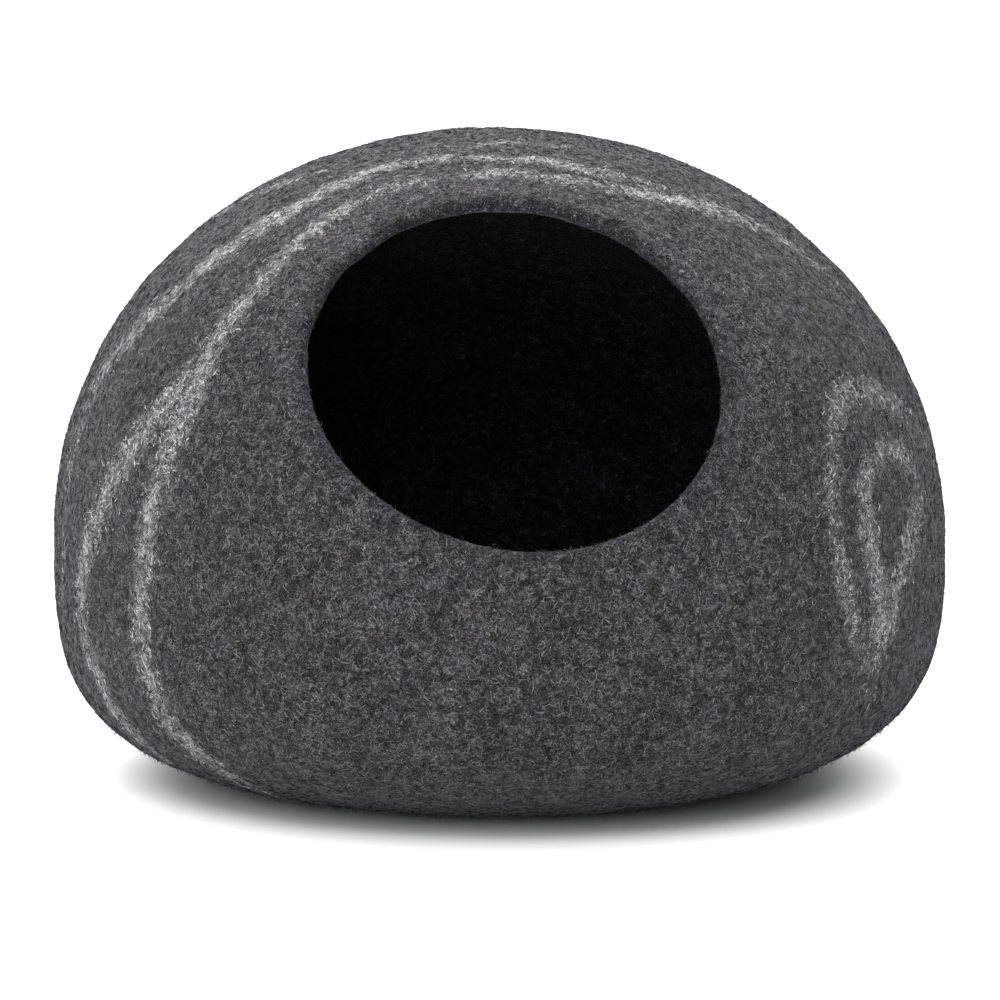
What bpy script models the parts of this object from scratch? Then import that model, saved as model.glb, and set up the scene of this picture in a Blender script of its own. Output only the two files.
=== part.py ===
"""Felt cat cave: a hollow, seamless shell of thick wet-felted wool with one round mouth.

Metres, +Z up. The origin is on the floor under the middle of the cave, and the mouth
looks towards -Y and up. The real shell is felted in one piece over a resist, so it is
one solid here: a squat egg with a flat spot to rest on, a wall of even thickness and a
rounded lip round the mouth.
"""

import math

import bmesh
import bpy
import numpy as np

# Driving dimensions.
HALF_WIDTH = 0.252
HEIGHT = 0.362
BELLY_LEVEL = 0.124  # where the cave is widest, above the floor
SINK = 0.009  # how far the rounded belly would hang below the floor if nothing bore it
BASE_BLEND = 0.006  # height over which the round belly turns into the flat base
WALL = 0.009
LIP_ROUND = 0.0040  # how far the cut edge of the mouth is rounded over

# Exponents of the outline: 2 is an ellipse, and more is squarer.
CROWN_FULLNESS = 2.10
BELLY_FULLNESS = 3.28

# The mouth, as seen from the middle of the cave at belly level.
MOUTH_TURN = math.radians(1.4)  # its middle, round from -Y towards +X
MOUTH_RISE = math.radians(31.8)  # its middle, up from level
MOUTH_SPREAD = math.radians(25.1)  # from its middle to its edge, on average
MOUTH_OVAL = math.radians(1.2)  # how much its long axis adds to that
MOUTH_SLANT = math.radians(-28.0)  # its long axis, up from level on the right

# The hand-felted unevenness: soft bumps and hollows. Turn is counted round from -Y
# towards +X and rise up from level, both to the middle of each, in degrees.
SWELL_COLUMNS = ("turn", "rise", "spread", "height")
SWELLS = [
    (-90.0, 20.0, 30.0, 0.003),  # the left side is fuller
    (90.0, 40.0, 30.0, -0.004),  # the right shoulder is flatter
    (90.0, -30.0, 25.0, -0.006),  # the right side draws in towards the floor
]

# How finely the surface is divided.
COLUMNS = 60
RINGS = 30
LIP_STEPS = 3
SHARP_EDGE = math.radians(50.0)  # an edge that turns more than this is a cut one

WOOL_GREY = (0.068, 0.067, 0.074, 1.0)
WOOL_ROUGHNESS = 0.95


def clear_scene():
    for thing in list(bpy.data.objects):
        bpy.data.objects.remove(thing, do_unlink=True)


def wool_material():
    """Matt grey wool felt."""
    material = bpy.data.materials.new("grey_wool_felt")
    material.use_nodes = True
    shader = material.node_tree.nodes["Principled BSDF"]
    shader.inputs["Base Color"].default_value = WOOL_GREY
    shader.inputs["Roughness"].default_value = WOOL_ROUGHNESS
    shader.inputs["Metallic"].default_value = 0.0
    material.diffuse_color = WOOL_GREY
    return material


def facing(turn, rise):
    """Unit vector turned from -Y towards +X, and raised from level, in radians."""
    return np.array(
        [
            math.cos(rise) * math.sin(turn),
            -math.cos(rise) * math.cos(turn),
            math.sin(rise),
        ]
    )


def swell(directions):
    """Bulge in metres at the unit directions: each bump is its height times e to the
    power of (cosine of the angle from its middle - 1) / spread squared."""
    total = np.zeros(len(directions))
    for row in SWELLS:
        bump = dict(zip(SWELL_COLUMNS, row))
        middle = facing(math.radians(bump["turn"]), math.radians(bump["rise"]))
        spread = math.radians(bump["spread"])
        total += bump["height"] * np.exp((directions @ middle - 1.0) / spread**2)
    return total


def egg_radius(level, rise, drop, fullness):
    """Distance to a superellipse of half width HALF_WIDTH and half height drop, along
    directions whose level and rise parts are given."""
    reach = (level / HALF_WIDTH) ** fullness + (np.abs(rise) / drop) ** fullness
    return reach ** (-1.0 / fullness)


def outer_surface(directions):
    """Points of the felt's outer face in these unit directions from the middle: a
    domed crown and a fuller belly that meet at the widest level, with the swells added,
    everything below the floor pressed flat and the whole centred over the origin."""
    level = np.hypot(directions[:, 0], directions[:, 1])
    rise = directions[:, 2]
    crown = egg_radius(level, rise, HEIGHT - BELLY_LEVEL, CROWN_FULLNESS)
    belly = egg_radius(level, rise, BELLY_LEVEL + SINK, BELLY_FULLNESS)
    radius = np.where(rise >= 0.0, crown, belly) + swell(directions)
    points = directions * radius[:, None]
    points[:, 2] = press_flat(points[:, 2] + BELLY_LEVEL)
    plan = points[:, :2]
    points[:, :2] = plan - (plan.min(axis=0) + plan.max(axis=0)) / 2.0
    return points


def press_flat(height):
    """0 below -BASE_BLEND, the height itself above BASE_BLEND, and a parabola that
    joins the two smoothly between."""
    blend = (height + BASE_BLEND) ** 2 / (4.0 * BASE_BLEND)
    return np.where(height <= -BASE_BLEND, 0.0, np.where(height >= BASE_BLEND, height, blend))


def mouth_axes():
    """Unit vectors to the right of the mouth, up its face and out through it."""
    right = facing(MOUTH_TURN + math.pi / 2.0, 0.0)
    out = facing(MOUTH_TURN, MOUTH_RISE)
    return right, np.cross(out, right), out


def felt_surface():
    """The open outer surface. A UV sphere stands with its pole in the mouth. That pole
    is taken out, and the rings that are left spread from the mouth's edge to the pole
    behind it before they are pushed out to the egg."""
    mesh = bmesh.new()
    bmesh.ops.create_uvsphere(mesh, u_segments=COLUMNS, v_segments=RINGS, radius=1.0)
    pole = max(mesh.verts, key=lambda vert: vert.co.z)
    bmesh.ops.delete(mesh, geom=[pole], context="VERTS")

    ball = np.array([vert.co for vert in mesh.verts])
    around = np.arctan2(ball[:, 1], ball[:, 0])
    down = np.arccos(np.clip(ball[:, 2], -1.0, 1.0))
    first = math.pi / RINGS
    share = (down - first) / (math.pi - first)
    edge = MOUTH_SPREAD + MOUTH_OVAL * np.cos(2.0 * (around - MOUTH_SLANT))
    down = edge + (math.pi - edge) * share

    right, up, out = mouth_axes()
    directions = (
        np.outer(np.sin(down) * np.cos(around), right)
        + np.outer(np.sin(down) * np.sin(around), up)
        + np.outer(np.cos(down), out)
    )
    for vert, point in zip(mesh.verts, outer_surface(directions)):
        vert.co = point
    data = bpy.data.meshes.new("felt_shell")
    mesh.to_mesh(data)
    mesh.free()
    return data


def felt_shell(collection):
    """The whole cave: the surface gets its wall inwards, and the cut edge of that wall
    at the mouth is rounded over into the lip."""
    data = felt_surface()
    data.shade_smooth()
    data.materials.append(wool_material())
    shell = bpy.data.objects.new("felt_shell", data)
    collection.objects.link(shell)

    wall = shell.modifiers.new("wall", "SOLIDIFY")
    wall.thickness = WALL
    wall.offset = -1.0
    wall.use_even_offset = True

    lip = shell.modifiers.new("lip", "BEVEL")
    lip.limit_method = "ANGLE"
    lip.angle_limit = SHARP_EDGE
    lip.width = LIP_ROUND
    lip.segments = LIP_STEPS
    return shell


def main():
    clear_scene()
    cave = bpy.data.collections.new("felt_cat_cave")
    bpy.context.scene.collection.children.link(cave)
    felt_shell(cave)


main()
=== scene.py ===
# %% [markdown]
# # A felted cat cave
#
# The object is a cave for a cat: a squat egg of thick grey wool felt, hollow, with one
# round mouth that looks forwards and up. It is wet-felted in one piece over a flat
# resist, so it has no seams. Light grey wool was laid on the dark wool in long bands
# before it was felted, and they run over the cave like the rings of a stone.
#
# This lesson makes it in four steps: the shell as one surface of two parameters, the
# bands as a measure of distance on that surface, the loose wool fibres as hundreds of
# thousands of small ribbons, and a plain studio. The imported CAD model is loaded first,
# because it fixes the size and the place of everything else.

# %% Load the frame
import math

import bpy
import numpy as np
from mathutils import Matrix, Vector


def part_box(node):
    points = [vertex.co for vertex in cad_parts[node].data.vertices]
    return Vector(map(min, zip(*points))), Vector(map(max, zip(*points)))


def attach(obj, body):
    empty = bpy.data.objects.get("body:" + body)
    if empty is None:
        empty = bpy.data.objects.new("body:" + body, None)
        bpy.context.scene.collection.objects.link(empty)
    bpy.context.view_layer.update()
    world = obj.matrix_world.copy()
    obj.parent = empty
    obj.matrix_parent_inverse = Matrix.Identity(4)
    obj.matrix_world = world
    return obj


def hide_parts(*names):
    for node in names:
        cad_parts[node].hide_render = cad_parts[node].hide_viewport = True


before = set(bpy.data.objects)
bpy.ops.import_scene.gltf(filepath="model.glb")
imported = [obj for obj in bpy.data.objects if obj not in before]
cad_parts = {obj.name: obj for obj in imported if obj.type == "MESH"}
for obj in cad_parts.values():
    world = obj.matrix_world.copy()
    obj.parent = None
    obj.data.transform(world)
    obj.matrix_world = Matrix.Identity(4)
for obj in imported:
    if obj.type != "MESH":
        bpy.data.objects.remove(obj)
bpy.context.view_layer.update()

cad_low, cad_high = (np.array(corner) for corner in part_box("felt_shell"))
print("CAD shell, metres:", np.round(cad_high - cad_low, 4))

# %% [markdown]
# ## The egg
#
# A real cave is pulled into shape by hand while it is wet: a domed crown, a fuller
# belly, and a flat spot where it dries standing. One way to model that is to sculpt a
# sphere. A formula is better here, because the bands and the fibres can then be placed
# on the same surface. Each half is a superellipse, an ellipse whose exponent says how
# square it is, and a few soft bumps and hollows give it the unevenness of handwork.

# %% Sizes of the shell, the same as the CAD model's
HALF_WIDTH = 0.252
HEIGHT = 0.362
BELLY_LEVEL = 0.124  # where the cave is widest, above the floor
SINK = 0.009  # how far the rounded belly would hang below the floor
BASE_BLEND = 0.006  # height over which the belly turns into the flat base
WALL = 0.009
CROWN_FULLNESS = 2.10  # exponents of the two halves: 2 is an ellipse, more is squarer
BELLY_FULLNESS = 3.28

MOUTH_TURN = math.radians(1.4)  # its middle, round from -Y towards +X
MOUTH_RISE = math.radians(31.8)  # its middle, up from level
MOUTH_SPREAD = math.radians(25.1)  # from its middle to its edge, on average
MOUTH_OVAL = math.radians(1.2)  # how much its long axis adds to that
MOUTH_SLANT = math.radians(-28.0)  # its long axis, up from level on the right

SWELL_COLUMNS = ("turn", "rise", "spread", "height")
SWELLS = [
    (-90.0, 20.0, 30.0, 0.003),  # the left side is fuller
    (90.0, 40.0, 30.0, -0.004),  # the right shoulder is flatter
    (90.0, -30.0, 25.0, -0.006),  # the right side draws in towards the floor
]


# %% The outer face as a function of direction
def facing(turn, rise):
    """Unit vector turned from -Y towards +X, and raised from level, in radians."""
    level = math.cos(rise)
    return np.array([level * math.sin(turn), -level * math.cos(turn), math.sin(rise)])


def swell(directions):
    """Bumps and hollows: height times e to the power of (cos(angle) - 1) / spread^2,
    with the angle counted from the middle of each."""
    total = np.zeros(directions.shape[:-1])
    for row in SWELLS:
        bump = dict(zip(SWELL_COLUMNS, row))
        middle = facing(math.radians(bump["turn"]), math.radians(bump["rise"]))
        spread = math.radians(bump["spread"])
        total += bump["height"] * np.exp((directions @ middle - 1.0) / spread**2)
    return total


def egg_radius(level, rise, drop, fullness):
    """Distance to (level / HALF_WIDTH)^n + (rise / drop)^n = 1 along a direction."""
    reach = (level / HALF_WIDTH) ** fullness + (np.abs(rise) / drop) ** fullness
    return reach ** (-1.0 / fullness)


def press_flat(height):
    """0 below -BASE_BLEND, height above BASE_BLEND, and a parabola between them."""
    blend = (height + BASE_BLEND) ** 2 / (4.0 * BASE_BLEND)
    return np.where(height <= -BASE_BLEND, 0.0, np.where(height >= BASE_BLEND, height, blend))


def egg(directions):
    """Points of the outer face: the unit direction times the egg's radius plus swells,
    lifted to belly level, with all that falls below the floor pressed flat."""
    level = np.hypot(directions[..., 0], directions[..., 1])
    rise = directions[..., 2]
    crown = egg_radius(level, rise, HEIGHT - BELLY_LEVEL, CROWN_FULLNESS)
    belly = egg_radius(level, rise, BELLY_LEVEL + SINK, BELLY_FULLNESS)
    radius = np.where(rise >= 0.0, crown, belly) + swell(directions)
    points = directions * radius[..., None]
    points[..., 2] = press_flat(points[..., 2] + BELLY_LEVEL)
    return points


# %% Directions are counted from the middle of the mouth
def mouth_axes():
    """Unit vectors to the right of the mouth, up its face, and out through it."""
    right = facing(MOUTH_TURN + math.pi / 2.0, 0.0)
    out = facing(MOUTH_TURN, MOUTH_RISE)
    return right, np.cross(out, right), out


def from_mouth(around, down):
    """Unit directions at the angle down from the mouth's axis, and around it."""
    right, up, out = mouth_axes()
    side = np.cos(around)[..., None] * right + np.sin(around)[..., None] * up
    return np.sin(down)[..., None] * side + np.cos(down)[..., None] * out


def mouth_edge(around):
    """Angle from the mouth's axis to its edge: a mean plus a cosine of twice the turn,
    which makes a round hole oval."""
    return MOUTH_SPREAD + MOUTH_OVAL * np.cos(2.0 * (around - MOUTH_SLANT))


# %% [markdown]
# ## Felt is never quite smooth
#
# Under a raking light the face of thick felt has soft lumps, a few centimetres apart
# and a quarter of a millimetre high, where the wool was laid thicker. Noise textures
# could shift the surface, but a sum of sine waves in random directions gives the same
# soft lumps as plain arithmetic on whole arrays, and the fibres can follow it.

# %% Soft random lumps
def soft_noise(points, wavelength, seed, waves=28):
    """Mean of many sine waves of one wavelength in seeded random directions, scaled so
    that its standard deviation is 1."""
    draw = np.random.default_rng(seed)
    ways = draw.normal(size=(waves, 3))
    ways *= 2.0 * math.pi / wavelength / np.linalg.norm(ways, axis=1, keepdims=True)
    shifts = draw.uniform(0.0, 2.0 * math.pi, waves)
    total = np.zeros(points.shape[:-1])
    for way, shift in zip(ways, shifts):
        total += np.sin(points @ way + shift)
    return total * math.sqrt(2.0 / waves)


LUMP_COLUMNS = ("wavelength", "height")
LUMPS = [(0.085, 0.00015), (0.036, 0.00020), (0.015, 0.00014)]
LUMP_SEED = 11
LUMP_FADE = 0.02  # height above the floor at which the relief is whole


def lumps(points):
    """The felt's relief in metres: soft noise at three wavelengths, none on the base."""
    total = np.zeros(points.shape[:-1])
    for step, row in enumerate(LUMPS):
        lump = dict(zip(LUMP_COLUMNS, row))
        total += lump["height"] * soft_noise(points, lump["wavelength"], LUMP_SEED + step)
    return total * np.clip(points[..., 2] / LUMP_FADE, 0.0, 1.0)


# %% [markdown]
# ## One closed skin
#
# The shell is one sheet of felt that turns round at the mouth. Its mesh is a grid of
# columns round the mouth and rings that follow the felt: from the pole behind, over
# the outer face to the mouth, round the lip in a half circle, and back along the inner
# face. The inner face is the outer one moved inwards by the wall, so the thickness is
# even everywhere, and the lip comes out as round as felt that was rubbed over an edge.

# %% Rings from the outer pole, round the lip, to the inner pole
COLUMNS = 288
OUTER_RINGS = 142
LIP_RINGS = 9
INNER_RINGS = 46
POLE_GAP = math.radians(0.6)  # from the pole behind to the first ring
MOUTH_DISTANCE = 0.232  # from the middle of the cave to the mouth's edge
INNER_SMOOTHING = 20.0  # how fast the relief dies out on the way in


def unit(vectors):
    """The same vectors, one metre long."""
    return vectors / np.linalg.norm(vectors, axis=-1, keepdims=True)


def face_normals(around, down):
    """Points of the egg and its outward unit normals, from the cross product of two
    small steps."""
    step = 1e-3
    here = egg(from_mouth(around, down))
    ahead = egg(from_mouth(around, down + step)) - here
    beside = egg(from_mouth(around + step, down)) - here
    return here, unit(np.cross(ahead, beside))


def shell_rings():
    """All rings as (ring, column, xyz), and each column's angle round the mouth."""
    around = np.linspace(0.0, 2.0 * math.pi, COLUMNS, endpoint=False)
    lip_back = 0.5 * WALL / MOUTH_DISTANCE
    stop = mouth_edge(around) + lip_back
    share = np.linspace(0.0, 1.0, OUTER_RINGS)[:, None]
    down = (math.pi - POLE_GAP) * (1.0 - share) + stop * share
    point, normal = face_normals(np.broadcast_to(around, down.shape), down)
    outer = point + lumps(point)[..., None] * normal

    edge, lean = outer[-1], normal[-1]
    towards = point[-1] - point[-2]
    towards = unit(towards - (towards * lean).sum(-1, keepdims=True) * lean)
    bend = np.linspace(0.0, math.pi, LIP_RINGS + 2)[1:-1, None, None]
    turned = np.cos(bend) * lean + np.sin(bend) * towards
    lip = edge - 0.5 * WALL * lean + 0.5 * WALL * turned

    inner_share = np.linspace(0.0, 1.0, INNER_RINGS)[:, None]
    inner_down = stop * (1.0 - inner_share) + (math.pi - 2.0 * POLE_GAP) * inner_share
    inner_around = np.broadcast_to(around, inner_down.shape)
    inner_point, inner_normal = face_normals(inner_around, inner_down)
    relief = lumps(inner_point)[..., None] * np.exp(-INNER_SMOOTHING * inner_share)[..., None]
    inner = inner_point + (relief - WALL) * inner_normal
    return np.concatenate([outer, lip, inner]), around


rings, around = shell_rings()
middle = 0.5 * (rings[..., :2].min(axis=(0, 1)) + rings[..., :2].max(axis=(0, 1)))
rings[..., :2] -= middle
print("outer size, metres:", np.round(np.ptp(rings.reshape(-1, 3), axis=0), 4))

# %% [markdown]
# A mesh is filled from arrays: points, then the corners of the quads between the rings,
# then the two fans of triangles that close the poles.


# %% From arrays to a Blender mesh
def build_mesh(name, points, quads, triangles=None):
    """A mesh object from arrays of points, four-cornered and three-cornered faces."""
    triangles = np.zeros((0, 3), np.int64) if triangles is None else triangles
    corners = np.concatenate([quads.ravel(), triangles.ravel()])
    starts = np.concatenate(
        [np.arange(len(quads)) * 4, quads.size + np.arange(len(triangles)) * 3]
    )
    mesh = bpy.data.meshes.new(name)
    mesh.vertices.add(len(points))
    mesh.vertices.foreach_set("co", points.astype(np.float32).ravel())
    mesh.loops.add(len(corners))
    mesh.loops.foreach_set("vertex_index", corners.astype(np.int32))
    mesh.polygons.add(len(starts))
    mesh.polygons.foreach_set("loop_start", starts.astype(np.int32))
    mesh.polygons.foreach_set("use_smooth", np.ones(len(starts), bool))
    mesh.update(calc_edges=True)
    mesh.validate()
    made = bpy.data.objects.new(name, mesh)
    bpy.context.scene.collection.objects.link(made)
    return made


def skin_faces(ring_count, columns):
    """Quads between neighbouring rings, and a fan round each pole. The poles are the
    last two points."""
    ring = np.arange(ring_count - 1)[:, None]
    column = np.arange(columns)[None, :]
    beside = (column + 1) % columns
    quads = np.stack(
        np.broadcast_arrays(
            ring * columns + column,
            ring * columns + beside,
            (ring + 1) * columns + beside,
            (ring + 1) * columns + column,
        ),
        axis=-1,
    ).reshape(-1, 4)
    outer_pole, inner_pole = ring_count * columns, ring_count * columns + 1
    column, beside = column[0], beside[0]
    last = (ring_count - 1) * columns
    outer_fan = np.stack([np.full(columns, outer_pole), beside, column], axis=-1)
    inner_fan = np.stack([np.full(columns, inner_pole), last + column, last + beside], axis=-1)
    return quads, np.concatenate([outer_fan, inner_fan])


def as_triangles(quads, fans):
    """Every quad cut in two, and then the fans."""
    return np.concatenate([quads[:, :3], quads[:, [0, 2, 3]], fans])


quads, fans = skin_faces(len(rings), COLUMNS)
poles = np.stack([rings[0].mean(axis=0), rings[-1].mean(axis=0)])
skin_points = np.concatenate([rings.reshape(-1, 3), poles])
corner = skin_points[as_triangles(quads, fans)]
volume = np.einsum("ij,ij->", corner[:, 0], np.cross(corner[:, 1], corner[:, 2])) / 6.0
shell = build_mesh("felt_skin", skin_points, quads, fans)
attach(shell, "root")
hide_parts("felt_shell")
print("triangles:", 2 * len(quads) + len(fans), " felt, litres:", round(volume * 1000, 2))

# %% [markdown]
# The finish is worked out by nodes, and a game engine needs it as a picture instead.
# For that the skin carries a flat layout, as if it were cut from the mouth to the pole
# and unrolled: columns run across and rings run up, so no two faces overlap.

# %% A flat layout of the skin
# The outer face gets most of the picture, and each stretch starts a little above the
# one below it.
LAYOUT_LEVELS = [(OUTER_RINGS, 0.004, 0.740), (LIP_RINGS, 0.744, 0.776), (INNER_RINGS, 0.780, 0.996)]
POLE_LEVELS = (0.0005, 0.9995)
ring_level = np.concatenate([np.linspace(low, high, count) for count, low, high in LAYOUT_LEVELS])


def flat_layout(levels, columns):
    """Across is column / columns and up is the ring's level, for each corner of each
    face in turn. A pole's corner lies half way between its two columns."""
    near = np.arange(columns) / columns
    far = (np.arange(columns) + 1.0) / columns
    half_way = 0.5 * (near + far)
    row, column = np.meshgrid(np.arange(len(levels) - 1), np.arange(columns), indexing="ij")
    across = np.stack([near[column], far[column], far[column], near[column]], axis=-1)
    up = np.stack([levels[row], levels[row], levels[row + 1], levels[row + 1]], axis=-1)
    first, last = np.full(columns, levels[0]), np.full(columns, levels[-1])
    low, high = (np.full(columns, level) for level in POLE_LEVELS)
    fan_across = np.concatenate([[half_way, far, near], [half_way, near, far]], axis=1)
    fan_up = np.concatenate([[low, first, first], [high, last, last]], axis=1)
    return (
        np.concatenate([across.ravel(), fan_across.T.ravel()]),
        np.concatenate([up.ravel(), fan_up.T.ravel()]),
    )


layout = np.stack(flat_layout(ring_level, COLUMNS), axis=-1)
print("layout corners:", len(layout), "of", len(shell.data.loops))
flat_map = shell.data.uv_layers.new(name="OFBake")
flat_map.uv.foreach_set("vector", layout.astype(np.float32).ravel())

# %% [markdown]
# ## The bands
#
# The light bands are wool of another shade. A maker lays them by eye, and they wander,
# thin out and break up. Painting them would need a picture, so each one is a short
# list of places that it passes through, in degrees round from the front and up from
# belly level, with its half width in millimetres and how much light wool is in it
# there. A smooth curve joins the places. What the surface needs to know is only how
# far each point is from the nearest curve, counted in half widths, and that is kept on
# the mesh as two numbers for each vertex.

# %% Where the bands run
BAND_COLUMNS = ("turn", "rise", "half_width", "light")
BANDS = {
    "left_front": [
        (-41, -31, 7, 0.5), (-43, -26, 8, 0.7), (-45, -21, 8.5, 0.9), (-47.5, -16, 8.5, 0.9),
        (-49, -11, 7.5, 0.8), (-50, -5, 7.5, 0.8), (-49.5, 2, 8, 0.8), (-48.5, 9, 8.5, 0.9),
        (-47, 16, 8.5, 0.8), (-46, 23, 9, 0.9), (-44.5, 32, 7.5, 0.8), (-43, 38, 7, 0.8),
        (-41, 45, 6.5, 0.8), (-39, 50, 6, 0.8), (-36, 53.5, 6, 0.7), (-31, 57.5, 5, 0.5),
        (-24, 60.5, 5, 0.5), (-15, 62, 4.5, 0.4), (-7, 63, 5, 0.6), (0, 63.5, 5, 0.7),
        (9, 63, 5, 0.6), (18, 61.5, 5, 0.5), (28, 59.5, 5, 0.4), (37, 57.5, 6, 0.7),
        (45, 56, 7, 0.9), (52, 54, 8, 0.9), (59, 51, 6.5, 0.7), (65, 47, 6, 0.5),
        (69, 41, 5, 0.3), (73, 34, 4, 0.05),
    ],
    "left_side": [
        (-58, -26, 7, 0.5), (-60, -20, 8.5, 0.9), (-62, -14, 8, 0.9), (-64, -8, 7.5, 0.8),
        (-65, -2, 8, 0.9), (-63, 3, 8.5, 1.0), (-60, 8, 8.5, 0.9), (-57, 14, 9, 1.0),
        (-53, 19, 9, 0.9), (-50, 23, 9, 0.9), (-47.5, 25.5, 8, 0.9),
    ],
    "left_edge": [
        (-76, 13, 5, 0.1), (-75, 18, 6, 0.3), (-73, 24, 8.5, 0.7), (-69, 29.5, 9, 0.8),
        (-65, 34, 9.5, 0.9), (-62, 38, 8, 0.8), (-59, 43, 7.5, 0.8), (-55, 48, 7.5, 0.9),
        (-51, 52, 7.5, 0.9), (-47, 57, 7, 0.9), (-43, 61.5, 7, 0.9), (-39, 64, 7, 0.9),
        (-32, 66.5, 6, 0.6), (-23, 67.5, 5.5, 0.8), (-15, 68, 4.5, 0.4), (-8, 68, 5, 0.9),
        (2, 68, 4.5, 0.6), (10, 68, 5, 0.8), (18, 67, 5.5, 0.6), (25, 65, 6, 0.6),
        (32, 63, 6.5, 0.6), (40, 60.5, 6, 0.3), (47, 58, 4, 0.05),
    ],
    "left_shade": [
        (-70, 27, 5.5, 0.3), (-72, 20, 5, 0.3), (-73, 11, 5.5, 0.4), (-73, 2, 5, 0.3),
        (-75, -9, 5, 0.15),
    ],
    "crown": [
        (-82, 50, 6, 0.4), (-74, 56, 7, 0.5), (-66, 60, 6, 0.4), (-56, 65, 5, 0.1),
        (-38, 71, 5, 0.1), (-18, 73.5, 5.5, 0.2), (-7, 75, 6, 0.5), (5, 75.5, 6.5, 0.6),
        (18, 74.5, 5, 0.3), (45, 72, 5, 0.05),
    ],
    "far_left": [
        (-86, -22, 7, 0.5), (-84, -8, 8, 0.7), (-84, 8, 8, 0.7), (-88, 22, 8, 0.8),
        (-94, 36, 7.5, 0.8), (-108, 52, 7.5, 0.8), (-138, 66, 7, 0.8), (170, 71, 7, 0.7),
        (128, 64, 7, 0.5), (108, 52, 6, 0.15),
    ],
    "right_arch": [
        (54, -15, 6, 0.1), (50, -9, 6, 0.3), (47, -4, 7, 0.6), (45.5, 1, 7, 0.6),
        (44.5, 6, 6, 0.5), (44, 11, 6.5, 0.5), (45.5, 16, 6, 0.4), (48, 21, 7, 0.5),
        (52, 24, 8, 0.7), (57, 24, 7, 0.6), (62, 23, 8, 0.8), (67, 21, 7, 0.6),
        (72, 18.5, 5.5, 0.3), (79, 11, 5, 0.1),
    ],
    "right_leaf": [
        (52.5, -13, 6, 0.2), (52.5, -9, 7, 0.4), (53, -4, 9, 0.9), (52.5, 0, 8, 0.9),
        (51, 5, 8, 0.9), (50.5, 10, 7, 0.8), (52, 14, 7, 0.7), (56, 16, 7, 0.7),
        (60.5, 16, 7.5, 0.7), (65, 13.5, 6, 0.4), (66.5, 10.5, 6.5, 0.3), (64, 7.5, 9, 0.6),
        (60.5, 4, 9, 0.8), (57.5, 0, 9, 0.8), (55.5, -4, 8, 0.8), (54, -8, 6.5, 0.5),
    ],
    "back_outer": [
        (112, -26, 7, 0.7), (106, -12, 7.5, 0.9), (105, 4, 8, 0.9), (110, 20, 8, 0.9),
        (122, 36, 8, 0.9), (142, 48, 7.5, 0.9), (168, 53, 7, 0.8), (-164, 50, 7.5, 0.9),
        (-144, 40, 8, 0.9), (-130, 25, 7.5, 0.8), (-124, 8, 7.5, 0.8), (-126, -10, 7, 0.7),
        (-131, -26, 6, 0.5),
    ],
    "back_inner": [
        (128, -24, 6.5, 0.5), (122, -10, 7, 0.7), (121, 4, 7.5, 0.8), (128, 18, 7.5, 0.8),
        (142, 30, 7, 0.8), (162, 35, 6.5, 0.6), (-178, 32, 6, 0.4), (-165, 24, 5.5, 0.1),
    ],
    "back_leaf": [
        (-150, -20, 6, 0.4), (-156, -8, 7, 0.8), (-154, 4, 7.5, 0.8), (-146, 13, 7.5, 0.7),
        (-138, 10, 7, 0.6), (-137, 1, 7, 0.7), (-142, -8, 7, 0.7), (-150, -20, 6, 0.4),
    ],
}

# %% Smooth curves through those places
def on_egg(turn, rise):
    """Points of the outer face at angles in degrees round from -Y and up from level."""
    turn, rise = np.radians(turn), np.radians(rise)
    ways = [np.cos(rise) * np.sin(turn), -np.cos(rise) * np.cos(turn), np.sin(rise)]
    points = egg(np.stack(ways, axis=-1))
    points[..., :2] -= middle
    return points


def smooth_curve(knots, per_span=24):
    """Catmull-Rom curve: between two rows a cubic whose slope at each row is half the
    step from the row before to the row after. The two ends repeat their rows."""
    padded = np.concatenate([knots[:1], knots, knots[-1:]])
    before, start, end, after = (padded[i : len(padded) - 3 + i, None] for i in range(4))
    t = np.linspace(0.0, 1.0, per_span, endpoint=False)[None, :, None]
    curve = 0.5 * (
        2.0 * start
        + (end - before) * t
        + (2.0 * before - 5.0 * start + 4.0 * end - after) * t**2
        + (3.0 * start - before - 3.0 * end + after) * t**3
    )
    return np.concatenate([curve.reshape(-1, knots.shape[1]), knots[-1:]])


def band_samples():
    """Rows of x, y, z, half width in metres and light, a few millimetres apart."""
    rows = []
    for places in BANDS.values():
        band = dict(zip(BAND_COLUMNS, np.array(places, float).T))
        made_of = np.stack([0.001 * band["half_width"], band["light"]], axis=1)
        knots = np.concatenate([on_egg(band["turn"], band["rise"]), made_of], axis=1)
        curve = smooth_curve(knots)
        outward = unit(curve[:, :3] + [*middle, -BELLY_LEVEL])
        curve[:, :3] = egg(outward) - [*middle, 0.0]
        rows.append(curve)
    return np.concatenate(rows)


bands = band_samples()
print("bands:", len(BANDS), " places:", sum(map(len, BANDS.values())), " samples:", len(bands))


# %% How far each vertex is from a band
FAR = 4.0  # half widths from a band, where nothing of it is left


def band_fields(points, chunk=4000):
    """For each point, the least distance to a band in half widths, at most FAR, and
    the light of the band sample that is nearest in that sense."""
    gap, light = np.empty(len(points)), np.empty(len(points))
    for start in range(0, len(points), chunk):
        part = points[start : start + chunk]
        both = (part**2).sum(1)[:, None] + (bands[:, :3] ** 2).sum(1)
        square = both - 2.0 * part @ bands[:, :3].T
        reach = np.sqrt(np.maximum(square, 0.0)) / bands[:, 3]
        nearest = reach.argmin(axis=1)
        gap[start : start + chunk] = reach[np.arange(len(part)), nearest]
        light[start : start + chunk] = bands[nearest, 4]
    return np.minimum(gap, FAR), light


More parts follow.
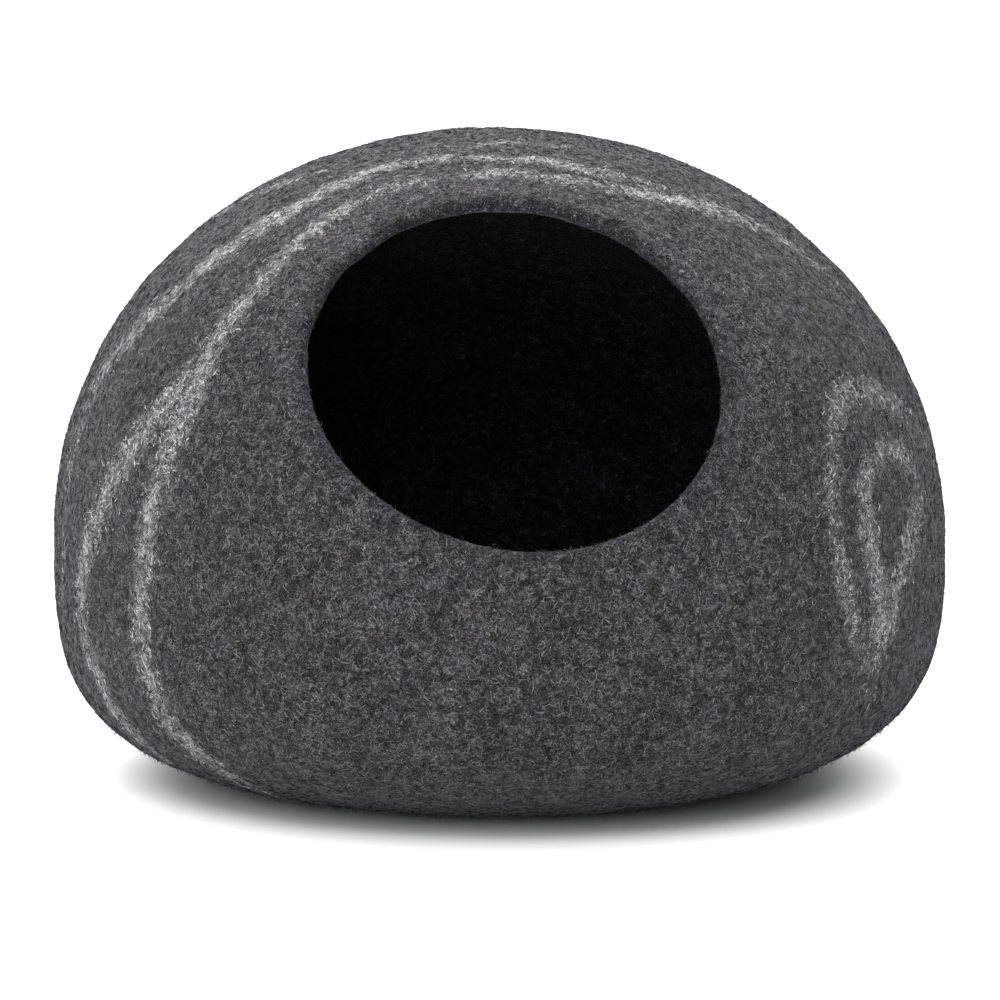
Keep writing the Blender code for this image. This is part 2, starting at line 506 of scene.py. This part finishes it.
outer_count = (OUTER_RINGS + LIP_RINGS) * COLUMNS
skin_gap = np.full(len(skin_points), FAR)
skin_light = np.zeros(len(skin_points))
skin_gap[:outer_count], skin_light[:outer_count] = band_fields(skin_points[:outer_count])


def keep_on_skin(name, values):
    """Store one number for each vertex of the skin under this name."""
    kept = shell.data.attributes.new(name, "FLOAT", "POINT")
    kept.data.foreach_set("value", values.astype(np.float32))


keep_on_skin("band_gap", skin_gap)
keep_on_skin("band_light", skin_light)
banded = float((skin_gap[:outer_count] < 1).mean())
print("share of the outer face inside a band:", round(banded, 3))

# %% [markdown]
# How deep a point lies inside is a third number. The colour darkens by it: painted shade
# on the lip and all over the inside of the cave, where shade falls.

# %% How far inside each vertex is
# Painted shade darkens the lip and the inner face by depth. The upper lip hangs over the
# hole, so its painted shade starts sooner.
OVERHANG_PAINTED_SHADE = 0.25
RIM_PAINTED_SHADE_SHARE = 0.3  # how much of it reaches the last ring before the lip
LIP_DEPTH = (0.1, 0.7)
INNER_DEPTH = (0.95, 1.0)
upper_lip_painted_shade = OVERHANG_PAINTED_SHADE * np.clip(np.sin(around), 0.0, 1.0) ** 2
ring_depth = np.concatenate(
    [
        np.zeros((OUTER_RINGS - 2, COLUMNS)),
        RIM_PAINTED_SHADE_SHARE * upper_lip_painted_shade[None, :],
        np.linspace(*LIP_DEPTH, LIP_RINGS + 1)[:, None] + upper_lip_painted_shade,
        np.repeat(np.linspace(*INNER_DEPTH, INNER_RINGS)[:, None], COLUMNS, axis=1),
    ]
)
skin_inside = np.concatenate([ring_depth.ravel(), [0.0, 1.0]])
# This depth carries painted shade: the shader and the fibres darken by it.
keep_on_skin("inside", skin_inside)
print("depth of the lip:", LIP_DEPTH, " of the inner face:", INNER_DEPTH)

# %% [markdown]
# ## Wool as a shader
#
# Heathered felt is a mix of dark and light fibres, so fine that they only just tell
# apart. A plain noise looks like sand. Fibres are lines, and a line can be had from a
# noise by lighting only the places where it passes through its middle value: those are
# thin curls, like a map's contours. Three such tangles of different sizes, a fine
# grain, patches and slow clouds are added up, and a fourth tangle is taken off as
# painted shade in the gaps between fibres. The exponential of the sum scales the wool's
# colour, because a mix of dyed wools varies by ratio, not by steps. The group puts out
# that factor and a height, and the material keeps its own shader.

# %% The heather group
def new_group(name, inputs, outputs):
    """An empty shader group with the named sockets: (name, type, default)."""
    tree = bpy.data.node_groups.new(name, "ShaderNodeTree")
    for label, kind, value in inputs:
        socket = tree.interface.new_socket(label, in_out="INPUT", socket_type=kind)
        socket.default_value = value
    for label, kind in outputs:
        tree.interface.new_socket(label, in_out="OUTPUT", socket_type=kind)
    return tree, tree.nodes.new("NodeGroupInput"), tree.nodes.new("NodeGroupOutput")


def math_node(tree, operation, first, second=0.0, third=0.0):
    """A Math node whose inputs are sockets or plain numbers. Returns its output."""
    node = tree.nodes.new("ShaderNodeMath")
    node.operation = operation
    for socket, value in zip(node.inputs, (first, second, third)):
        if isinstance(value, (int, float)):
            socket.default_value = value
        else:
            tree.links.new(value, socket)
    return node.outputs[0]


def noise_node(tree, vector, scale, detail=2.0, roughness=0.5, distortion=0.0):
    """A Noise texture's Factor output at this many lumps a metre."""
    node = tree.nodes.new("ShaderNodeTexNoise")
    node.inputs["Scale"].default_value = scale
    node.inputs["Detail"].default_value = detail
    node.inputs["Roughness"].default_value = roughness
    node.inputs["Distortion"].default_value = distortion
    tree.links.new(vector, node.inputs["Vector"])
    return node.outputs["Fac"]


def map_range(tree, value, take, give, smooth=False):
    """The output of a Map Range node that takes the pair of limits to another pair."""
    node = tree.nodes.new("ShaderNodeMapRange")
    node.interpolation_type = "SMOOTHSTEP" if smooth else "LINEAR"
    tree.links.new(value, node.inputs["Value"])
    for label, limit in zip(("From Min", "From Max", "To Min", "To Max"), (*take, *give)):
        node.inputs[label].default_value = limit
    return node.outputs["Result"]


def tangle(tree, place, scale, thinness):
    """Curled lines: 1 less thinness times the distance of a noise from its middle."""
    noise = noise_node(tree, place, scale, detail=1.0, distortion=0.8)
    off = math_node(tree, "ABSOLUTE", math_node(tree, "SUBTRACT", noise, 0.5))
    return math_node(tree, "MAXIMUM", math_node(tree, "MULTIPLY_ADD", off, -thinness, 1.0), 0.0)


# Scales are in lumps a metre, and a higher thinness draws a thinner line.
CLOUD_SCALE = 34.0
PATCH_SCALE = 210.0
GRAIN_SCALE = 1250.0
CURL_TANGLES = [(330.0, 11.0), (470.0, 9.0), (640.0, 8.0)]  # scale, thinness
# Painted shade in the gaps between fibres: a tangle taken off the colour.
GAP_PAINTED_SHADE_TANGLE = (540.0, 7.0)
PATCH_AMOUNT = 2.8
GRAIN_AMOUNT = 4.4
CURL_AMOUNT = 0.70
CURL_RELIEF = 0.3  # how much the curls stand out in the height


def heather_group():
    """Factor: e to the power of clouds, patches and grain, each less its mean of one
    half, plus curls, less the painted shade of the gaps. Height: curls and grain."""
    tree, take, give = new_group(
        "heather_wool",
        [
            ("Vector", "NodeSocketVector", (0.0, 0.0, 0.0)),
            ("Clouds", "NodeSocketFloat", 1.0),
            ("Curls", "NodeSocketFloat", 1.0),
        ],
        [("Factor", "NodeSocketFloat"), ("Height", "NodeSocketFloat")],
    )
    place = take.outputs["Vector"]
    clouds = noise_node(tree, place, CLOUD_SCALE)
    patches = noise_node(tree, place, PATCH_SCALE)
    centred = math_node(tree, "ADD", clouds, -0.5 - 0.5 * PATCH_AMOUNT)
    cloudy = math_node(tree, "MULTIPLY_ADD", patches, PATCH_AMOUNT, centred)
    cloudy = math_node(tree, "MULTIPLY", cloudy, take.outputs["Clouds"])

    curls, *others = (tangle(tree, place, *row) for row in CURL_TANGLES)
    for more in others:
        curls = math_node(tree, "ADD", curls, more)
    painted_gap_shade = tangle(tree, place, *GAP_PAINTED_SHADE_TANGLE)
    grain = noise_node(tree, place, GRAIN_SCALE, roughness=0.7)
    fine = math_node(tree, "MULTIPLY_ADD", grain, GRAIN_AMOUNT, -0.5 * GRAIN_AMOUNT)
    fine = math_node(tree, "MULTIPLY_ADD", curls, CURL_AMOUNT, fine)
    fine = math_node(tree, "MULTIPLY_ADD", painted_gap_shade, -1.0, fine)
    fine = math_node(tree, "MULTIPLY", fine, take.outputs["Curls"])
    factor = math_node(tree, "EXPONENT", math_node(tree, "ADD", cloudy, fine))
    tree.links.new(factor, give.inputs["Factor"])
    height = math_node(tree, "MULTIPLY_ADD", curls, CURL_RELIEF, grain)
    tree.links.new(height, give.inputs["Height"])
    return tree


HEATHER = heather_group()
print("heather wool:", len(HEATHER.nodes), "nodes")

# %% [markdown]
# The bands get a group of their own. It turns the distance from a band into a share of
# light wool, with an edge that a noise breaks up. The fibres take the same step later
# on, in plain arithmetic.


# %% The band group
BAND_CORE = 0.1  # half widths from the middle line where the light wool is whole
BAND_END = 1.6  # half widths where nothing of it is left
RAGGED_SCALE = 170.0  # lumps a metre
RAGGED_AMOUNT = 1.8
THIN_SCALE = 90.0
THIN_AMOUNT = 2.4
THIN_START = -0.40
THIN_SPAN = (0.35, 1.0)  # how full the band is, at least and at most


def band_group():
    """Share = light times a smooth step down of gap plus noise, between the core of the
    band and just past its edge, thinned here and there by a second noise."""
    tree, take, give = new_group(
        "light_band",
        [
            ("Vector", "NodeSocketVector", (0.0, 0.0, 0.0)),
            ("Gap", "NodeSocketFloat", FAR),
            ("Light", "NodeSocketFloat", 0.0),
        ],
        [("Share", "NodeSocketFloat")],
    )
    place = take.outputs["Vector"]
    ragged = noise_node(tree, place, RAGGED_SCALE, detail=4.0, roughness=0.65)
    ragged = math_node(tree, "MULTIPLY_ADD", ragged, RAGGED_AMOUNT, -0.5 * RAGGED_AMOUNT)
    gap = math_node(tree, "ADD", take.outputs["Gap"], ragged)
    step = map_range(tree, gap, (BAND_END, BAND_CORE), (0.0, 1.0), smooth=True)
    thin = noise_node(tree, place, THIN_SCALE)
    thin = math_node(tree, "MULTIPLY_ADD", thin, THIN_AMOUNT, THIN_START)
    thin = math_node(tree, "MINIMUM", thin, THIN_SPAN[1])
    thin = math_node(tree, "MAXIMUM", thin, THIN_SPAN[0])
    share = math_node(tree, "MULTIPLY", step, take.outputs["Light"])
    share = math_node(tree, "MULTIPLY", share, thin)
    tree.links.new(share, give.inputs["Share"])
    return tree


LIGHT_BAND = band_group()
print("light band:", len(LIGHT_BAND.nodes), "nodes")


# %% Small helpers for materials
MATT_SPECULAR = 0.05
SHEEN_ROUGHNESS = 0.30


def new_material(name, colour, roughness, sheen):
    """A material whose Principled shader has these constants on its own sockets."""
    material = bpy.data.materials.new(name)
    material.use_nodes = True
    shader = material.node_tree.nodes["Principled BSDF"]
    shader.inputs["Base Color"].default_value = (*colour, 1.0)
    shader.inputs["Roughness"].default_value = roughness
    shader.inputs["Specular IOR Level"].default_value = MATT_SPECULAR
    shader.inputs["Sheen Weight"].default_value = sheen
    shader.inputs["Sheen Roughness"].default_value = SHEEN_ROUGHNESS
    return material, material.node_tree, shader


def place_group(tree, group, **values):
    """An instance of a group with some of its inputs set or linked."""
    node = tree.nodes.new("ShaderNodeGroup")
    node.node_tree = group
    for label, value in values.items():
        if isinstance(value, (int, float)):
            node.inputs[label].default_value = value
        else:
            tree.links.new(value, node.inputs[label])
    return node


def mix_colours(tree, factor, first, second):
    """A colour Mix by a socket's factor, of sockets or (r, g, b). Returns its output."""
    node = tree.nodes.new("ShaderNodeMix")
    node.data_type = "RGBA"
    for label, value in (("Factor_Float", factor), ("A_Color", first), ("B_Color", second)):
        socket = next(s for s in node.inputs if s.identifier == label)
        if isinstance(value, tuple):
            socket.default_value = (*value, 1.0)
        else:
            tree.links.new(value, socket)
    return next(s for s in node.outputs if s.identifier == "Result_Color")


def scale_colour(tree, colour, factor):
    """A colour multiplied by a number from a socket."""
    node = tree.nodes.new("ShaderNodeVectorMath")
    node.operation = "SCALE"
    tree.links.new(colour, node.inputs[0])
    tree.links.new(factor, node.inputs["Scale"])
    return node.outputs[0]


def attribute(tree, name):
    """The number that this attribute holds."""
    node = tree.nodes.new("ShaderNodeAttribute")
    node.attribute_name = name
    return node.outputs["Fac"]


# %% [markdown]
# ## The felt itself
#
# Between the loose fibres lies the felted ground. It is charcoal wool with a faint
# blue cast, lighter in the bands, with painted light over the crown and painted shade
# that darkens the lip and the inside. Its roughness is high, and a little sheen stands
# for the down of fine hairs that catches light at the edges.

# %% Colours of the wool, and the ground material
CHARCOAL = (0.0216, 0.0209, 0.0238)
# Painted shade: the darker charcoal that the lip and the inside turn to.
INSIDE_PAINTED_SHADE_CHARCOAL = (0.0100, 0.0097, 0.0110)
LIGHT_GREY = (0.140, 0.140, 0.143)
WOOL_SHEEN = 0.15
GROUND_ROUGHNESS = 0.95
GROUND_CLOUDS = 1.1
BAND_CALM = 0.45  # how much of the curls is lost where the light wool is whole
BUMP_STRENGTH = 0.8
BUMP_DISTANCE = 0.0006
# Painted light over the crown: between these two heights the colour of the ground
# and of the fibres grows lighter, from 1 to the gain below times as light.
CROWN_PAINTED_LIGHT_GAIN = 1.55
CROWN_PAINTED_LIGHT_SPAN = (0.235, 0.345)


def ground_material():
    """Charcoal wool, light where the bands run, darker on the lip and inside by painted
    shade, times the heather factor and the painted light of the crown."""
    material, tree, shader = new_material(
        "grey_wool_felt", CHARCOAL, GROUND_ROUGHNESS, WOOL_SHEEN
    )
    place = tree.nodes.new("ShaderNodeTexCoord").outputs["Object"]
    gap, light = attribute(tree, "band_gap"), attribute(tree, "band_light")
    band = place_group(tree, LIGHT_BAND, Vector=place, Gap=gap, Light=light)
    curls = math_node(tree, "MULTIPLY_ADD", band.outputs["Share"], -BAND_CALM, 1.0)
    heather = place_group(tree, HEATHER, Vector=place, Clouds=GROUND_CLOUDS, Curls=curls)
    wool = mix_colours(tree, band.outputs["Share"], CHARCOAL, LIGHT_GREY)
    # Painted shade: the lip and the inside turn to a darker charcoal.
    wool = mix_colours(tree, attribute(tree, "inside"), wool, INSIDE_PAINTED_SHADE_CHARCOAL)
    wool = scale_colour(tree, wool, heather.outputs["Factor"])
    height = tree.nodes.new("ShaderNodeSeparateXYZ")
    tree.links.new(place, height.inputs[0])
    # Painted light: the colour grows lighter towards the crown.
    crown = map_range(tree, height.outputs["Z"], CROWN_PAINTED_LIGHT_SPAN, (1.0, CROWN_PAINTED_LIGHT_GAIN))
    wool = scale_colour(tree, wool, crown)
    tree.links.new(wool, shader.inputs["Base Color"])
    bump = tree.nodes.new("ShaderNodeBump")
    bump.inputs["Strength"].default_value = BUMP_STRENGTH
    bump.inputs["Distance"].default_value = BUMP_DISTANCE
    tree.links.new(heather.outputs["Height"], bump.inputs["Height"])
    tree.links.new(bump.outputs["Normal"], shader.inputs["Normal"])
    return material


shell.data.materials.append(ground_material())
print("materials on the skin:", [material.name for material in shell.data.materials])

# %% [markdown]
# ## Loose fibres
#
# What tells felt from painted stone is its fibres: short curved hairs that lie every
# way on the face, and finer ones that stand off it and blur the outline. Hair systems
# would do it, but they don't travel with the model. Here each fibre is a thin strand of
# two or four triangles, and they are all made at once as arrays. A root is a random
# spot on the skin, drawn in proportion to area, so that the cover is even. A strand
# lies along a random way in the skin's plane, bends aside, and lifts in the middle.

# %% Random roots on the skin
triangles = as_triangles(quads, fans)
spans = skin_points[triangles]
face_cross = np.cross(spans[:, 1] - spans[:, 0], spans[:, 2] - spans[:, 0])
face_area = 0.5 * np.linalg.norm(face_cross, axis=1)
vertex_normal = np.zeros_like(skin_points)
for corner_index in range(3):
    np.add.at(vertex_normal, triangles[:, corner_index], face_cross)
vertex_normal = unit(vertex_normal)

# Fibres cover the outer face and the lip, thin out inside, and leave the base bare.
THIN_FROM = 0.6  # how far inside the cover starts to thin out
THIN_OVER = 0.3
BARE_BELOW = 0.0015  # height above the floor where the cover starts
BARE_OVER = 0.004
face_inside = skin_inside[triangles].mean(axis=1)
inside_cover = np.clip(1.0 - (face_inside - THIN_FROM) / THIN_OVER, 0.0, 1.0) ** 2
base_cover = np.clip((spans[..., 2].mean(axis=1) - BARE_BELOW) / BARE_OVER, 0.0, 1.0)
root_weight = face_area * inside_cover * base_cover
root_weight /= root_weight.sum()
print("faces that carry fibres:", int((root_weight > 0).sum()), "of", len(triangles))


def scatter(count, draw):
    """Roots, normals and the three skin numbers at count random spots of the skin."""
    face = draw.choice(len(triangles), count, p=root_weight)
    first, second = np.sqrt(draw.random(count)), draw.random(count)
    share = np.stack([1.0 - first, first * (1.0 - second), first * second], axis=1)
    corners = triangles[face]

    def blend(values):
        return np.einsum("ij,ij...->i...", share, values[corners])

    normal = unit(blend(vertex_normal))
    return blend(skin_points), normal, blend(skin_gap), blend(skin_light), blend(skin_inside)


# %% Curved strands from roots
BOW = 0.20  # spread of the push aside, as a share of the length
SWAY = 0.09  # spread of the s-shape in it
ROLL = 0.55  # spread of the roll about the strand, in radians
TIP_SINK = 0.0002  # how far the near tip goes into the skin
NEAR_UPRIGHT = 0.9  # a normal nearer to upright than this takes the other helper


def strands(root, normal, draw, size, stations):
    """Points of each fibre: a tip, a pair at each middle station, and a tip. The middle
    line is a chord of the length, pushed aside by bow times 4t(1 - t) plus sway times
    sin(2 pi t), lifted by lift times 4t(1 - t) plus stand times t, with its near tip
    sunk a little. Each pair lies across it, rolled a bit."""
    count = len(root)
    length, width, lift, stand = size
    helper = np.where(np.abs(normal[:, 2:]) < NEAR_UPRIGHT, [[0.0, 0.0, 1.0]], [[1.0, 0.0, 0.0]])
    east = unit(np.cross(helper, normal))
    north = np.cross(normal, east)
    turn = draw.uniform(0.0, 2.0 * math.pi, count)[:, None]
    along = np.cos(turn) * east + np.sin(turn) * north
    aside = np.cross(normal, along)
    bow = draw.normal(0.0, BOW, count)[:, None] * length
    sway = draw.normal(0.0, SWAY, count)[:, None] * length
    roll = draw.normal(0.0, ROLL, count)[:, None]
    half = 0.5 * width * (np.cos(roll) * aside + np.sin(roll) * normal)

    points = []
    for t in stations:
        arch = 4.0 * t * (1.0 - t)
        aside_by = bow * arch + sway * math.sin(2.0 * math.pi * t)
        height = lift * arch + stand * t - TIP_SINK * (1.0 - t)
        here = root + (t - 0.5) * length * along + aside_by * aside + height * normal
        points += [here] if t in (stations[0], stations[-1]) else [here - half, here + half]
    return np.stack(points, axis=1)


# Where the stations lie along a long and a short strand, and their triangles.
LONG = (0.0, 1.0 / 3.0, 2.0 / 3.0, 1.0)
SHORT = (0.0, 0.5, 1.0)
LONG_FACES = np.array([[0, 1, 2], [1, 3, 4], [1, 4, 2], [3, 5, 4]])
SHORT_FACES = np.array([[0, 1, 2], [1, 3, 2]])

# %% [markdown]
# A heather is a mix of dyed wools. Each fibre draws a reflectance: dark wool over most
# of the cave and pale wool in the bands, spread by ratio, with slow clouds that make
# whole patches lighter or darker. Painted light makes the fibres over the crown lighter,
# and painted shade makes those on the lip and inside darker. Then all fibres are sorted
# by it and split into bunches, and each bunch is one piece of one plain colour, as one
# batch of dyed wool is, so the bunches carry that painted light and shade as well.
# That keeps the colours exact wherever the model goes, with no picture for them.

# %% The shade of each fibre
DARK_WOOL = 0.041
PALE_WOOL = 0.205
BAND_FILL = 0.85  # share of pale fibres where a band is whole
FIBRE_THIN_MEAN = 0.82  # how full a band is on average, and its limits
FIBRE_THIN_SPAN = (0.2, 1.0)
DARK_SPREAD = 0.88  # how widely the dark wools differ, as a power of e
PALE_SPREAD = 0.40  # the pale wools differ by this share of it
SOFT_SLOPE = 0.05
# Painted shade: wool on the lip and inside loses this share of its light.
INSIDE_PAINTED_SHADE_LOSS = 0.75  # share of its light that wool inside has lost
PAINTED_SHADE_FULL_AT = 0.6  # how far inside the whole of it is lost

# Soft noises, each a row of amount, wavelength in metres and seed.
RAGGED_NOISES = [(0.20, 0.009, 51), (0.14, 0.004, 52)]
THIN_NOISES = [(0.28, 0.014, 53)]
CLOUD_NOISES = [(0.08, 0.024, 61), (0.30, 0.0080, 62), (0.28, 0.0038, 63)]


def summed_noise(points, rows):
    """The sum of each row's amount times its soft noise."""
    return sum(amount * soft_noise(points, wave, seed) for amount, wave, seed in rows)


def band_share(points, gap, light):
    """The same smooth step as the band group, with soft noise for the ragged edge."""
    ragged = summed_noise(points, RAGGED_NOISES)
    share = np.clip((BAND_END - gap - ragged) / (BAND_END - BAND_CORE), 0.0, 1.0)
    thin = np.clip(FIBRE_THIN_MEAN + summed_noise(points, THIN_NOISES), *FIBRE_THIN_SPAN)
    return light * thin * share**2 * (3.0 - 2.0 * share)


def fibre_shades(root, gap, light, inside, draw):
    """Reflectance: dark or pale wool by chance, times e to the power of a normal draw
    plus soft clouds and the painted light of the crown. Above 1 that power grows only
    SOFT_SLOPE times as fast, so that no single hair glares and no two limits of the
    bunches below fall together. Painted shade then darkens the fibres on the lip and inside."""
    pale = draw.random(len(root)) < BAND_FILL * band_share(root, gap, light)
    spread = draw.normal(0.0, DARK_SPREAD, len(root)) * np.where(pale, PALE_SPREAD, 1.0)
    clouds = summed_noise(root, CLOUD_NOISES)
    # Painted light: the fibres grow lighter towards the crown, as the ground does.
    clouds += math.log(CROWN_PAINTED_LIGHT_GAIN) * np.interp(root[:, 2], CROWN_PAINTED_LIGHT_SPAN, (0.0, 1.0))
    power = spread + clouds
    power = np.minimum(power, 1.0 - SOFT_SLOPE + SOFT_SLOPE * power)
    shade = np.where(pale, PALE_WOOL, DARK_WOOL) * np.exp(power)
    # Painted shade: fibres on the lip and inside get darker.
    return shade * (1.0 - INSIDE_PAINTED_SHADE_LOSS * np.clip(inside / PAINTED_SHADE_FULL_AT, 0.0, 1.0))


# %% Draw all the fibres
# The last column is painted light: the hairs that stand off are made lighter for the back light.
FIBRE_COLUMNS = ("count", "seed", "stations", "length", "width", "lift", "stand", "painted_backlight_gain")
FIBRES = [
    (120000, 101, LONG, 5.0, 0.52, 0.35, 0.3, 1.0),
    (134000, 102, SHORT, 3.4, 0.48, 0.40, 0.4, 1.0),
    (60000, 103, SHORT, 3.2, 0.28, 0.50, 3.2, 1.4),
]
SIZE_RANGE = (0.6, 1.5)
LIFT_RANGE = (0.1, 1.0)
OFF_FLOOR = 0.0003  # no fibre comes nearer to the floor


def draw_fibres(count, seed, stations, length, width, lift, stand, painted_backlight_gain):
    """Points and shades of one kind of fibre. The sizes are in millimetres, and lengths
    and widths are drawn about them. The last number is painted light: it makes the hairs
    that stand off lighter, for the back light that shines through them."""
    draw = np.random.default_rng(seed)
    root, normal, gap, light, inside = scatter(count, draw)
    size = (
        0.001 * length * draw.uniform(*SIZE_RANGE, (count, 1)),
        0.001 * width * draw.uniform(*SIZE_RANGE, (count, 1)),
        0.001 * lift * draw.uniform(*LIFT_RANGE, (count, 1)),
        0.001 * stand * draw.uniform(0.0, 1.0, (count, 1)) ** 2,
    )
    points = strands(root, normal, draw, size, stations)
    points[..., 2] = np.maximum(points[..., 2], OFF_FLOOR)
    faces = LONG_FACES if stations is LONG else SHORT_FACES
    return points, faces, painted_backlight_gain * fibre_shades(root, gap, light, inside, draw)


kinds = [draw_fibres(**dict(zip(FIBRE_COLUMNS, row))) for row in FIBRES]
print("fibres:", sum(len(shades) for _, _, shades in kinds))

# %% [markdown]
# The dyes differ a little in cast too: most of the dark wools are bluish, and one is
# nearly neutral.

# %% Split them into bunches of one colour
FIBRE_ROUGHNESS = 0.9

# Each row is the bunch's name, its share of the fibres, and its cast of red, green
# and blue.
BUNCHES = [
    ("wool_black", 0.20, (1.0, 0.975, 1.10)),
    ("wool_soot", 0.20, (1.0, 0.975, 1.13)),
    ("wool_charcoal", 0.20, (1.0, 0.985, 1.00)),
    ("wool_slate", 0.18, (1.0, 0.970, 1.13)),
    ("wool_iron", 0.13, (1.0, 0.980, 1.06)),
    ("wool_ash", 0.06, (1.0, 0.995, 1.03)),
    ("wool_pale", 0.03, (1.0, 1.000, 1.02)),
]
all_shades = np.concatenate([shades for _, _, shades in kinds])
steps = np.cumsum([share for _, share, _ in BUNCHES])[:-1]
limits = [0.0, *np.quantile(all_shades, steps), math.inf]


def bunch_piece(name, cast, low, high):
    """One mesh of all the strands whose shade lies between low and high, in one colour:
    their mean shade times the dye's cast."""
    points, faces, kept, total = [], [], [], 0
    for strand_points, strand_faces, shades in kinds:
        chosen = (shades >= low) & (shades < high)
        part = strand_points[chosen]
        starts = total + np.arange(len(part)) * part.shape[1]
        points.append(part.reshape(-1, 3))
        faces.append((starts[:, None, None] + strand_faces).reshape(-1, 3))
        kept.append(shades[chosen])
        total += part.shape[0] * part.shape[1]
    shade = float(np.concatenate(kept).mean())
    no_quads = np.zeros((0, 4), np.int64)
    piece = build_mesh(name, np.concatenate(points), no_quads, np.concatenate(faces))
    colour = tuple(shade * part for part in cast)
    material, _, _ = new_material(name, colour, FIBRE_ROUGHNESS, WOOL_SHEEN)
    piece.data.materials.append(material)
    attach(piece, "root")
    print(name, "reflects", round(shade, 4), " triangles:", sum(map(len, faces)))
    return piece


fibres = [
    bunch_piece(name, cast, low, high)
    for (name, _, cast), low, high in zip(BUNCHES, limits[:-1], limits[1:])
]

# %% [markdown]
# ## Felted over a flat resist
#
# The shell is felted over a flat resist, so before it was blocked it was two layers of
# felt about 0.64 m wide and 0.64 m long joined round the edge, which is a flat area of
# twice a disc.

# %% [markdown]
# ## The studio
#
# A pale seamless floor and four broad soft lamps: the strongest overhead, one low behind
# that lights the edge of the crown, a weak one behind on the left, and one in front,
# a little to the left, that fills the shade under the belly. The world is white where
# the camera sees it and dim for everything else, so that light comes from the lamps
# and the floor and the inside of the cave stays dark.

# %% Floor
FLOOR_HALF = 12.0
FLOOR_DROP = 0.0005  # just under the base, so that the two never share a plane
FLOOR_GREY = 0.88
FLOOR_ROUGHNESS = 0.6
floor_sides = [(-1.0, -1.0), (1.0, -1.0), (1.0, 1.0), (-1.0, 1.0)]
floor_mesh = bpy.data.meshes.new("floor")
floor_mesh.from_pydata(
    [(FLOOR_HALF * x, FLOOR_HALF * y, -FLOOR_DROP) for x, y in floor_sides],
    [],
    [(0, 1, 2, 3)],
)
floor = bpy.data.objects.new("floor", floor_mesh)
bpy.context.scene.collection.objects.link(floor)
floor_material, _, _ = new_material("pale_floor", 3 * (FLOOR_GREY,), FLOOR_ROUGHNESS, 0.0)
floor_mesh.materials.append(floor_material)
print("floor, metres:", tuple(floor.dimensions))


# %% Lamps
def sun(name, strength, spread, towards):
    """A sun whose light comes from this direction, as soft as its spread in degrees."""
    lamp = bpy.data.lights.new(name, "SUN")
    lamp.energy = strength
    lamp.angle = math.radians(spread)
    made = bpy.data.objects.new(name, lamp)
    made.rotation_mode = "QUATERNION"
    made.rotation_quaternion = Vector(towards).to_track_quat("Z", "Y")
    bpy.context.scene.collection.objects.link(made)


LAMP_COLUMNS = ("name", "strength", "spread", "towards")
LAMPS = [
    ("overhead", 5.2, 100.0, (0.0, 0.10, 1.0)),
    ("back", 3.6, 50.0, (0.0, 1.0, 0.30)),
    ("left_back", 1.1, 50.0, (-0.85, 0.60, 0.40)),
    ("front_left", 2.65, 70.0, (-0.28, -0.78, 0.53)),
]
for row in LAMPS:
    sun(**dict(zip(LAMP_COLUMNS, row)))
print("lamps:", [row[0] for row in LAMPS])

# %% World
WORLD_LIGHT = 0.10
WORLD_SEEN = 1.05  # what the camera sees of it
world = bpy.data.worlds.new("studio")
bpy.context.scene.world = world
world.use_nodes = True
sky = world.node_tree.nodes["Background"]
sky.inputs["Color"].default_value = (1.0, 1.0, 1.0, 1.0)
seen = world.node_tree.nodes.new("ShaderNodeLightPath").outputs["Is Camera Ray"]
strength = map_range(world.node_tree, seen, (0.0, 1.0), (WORLD_LIGHT, WORLD_SEEN))
world.node_tree.links.new(strength, sky.inputs["Strength"])
bpy.context.scene.view_settings.view_transform = "Standard"

# %% Camera
CAMERA_AT = Vector((-0.001, -2.380, 0.445))
LOOKS_AT = Vector((0.0005, 0.0, 0.1517))
LENS_MM = 152.5
SENSOR_MM = 36.0
lens = bpy.data.cameras.new("camera")
lens.lens = LENS_MM
lens.sensor_width = SENSOR_MM
camera = bpy.data.objects.new("camera", lens)
camera.location = CAMERA_AT
camera.rotation_mode = "QUATERNION"
camera.rotation_quaternion = (LOOKS_AT - CAMERA_AT).to_track_quat("-Z", "Y")
bpy.context.scene.collection.objects.link(camera)
bpy.context.scene.camera = camera
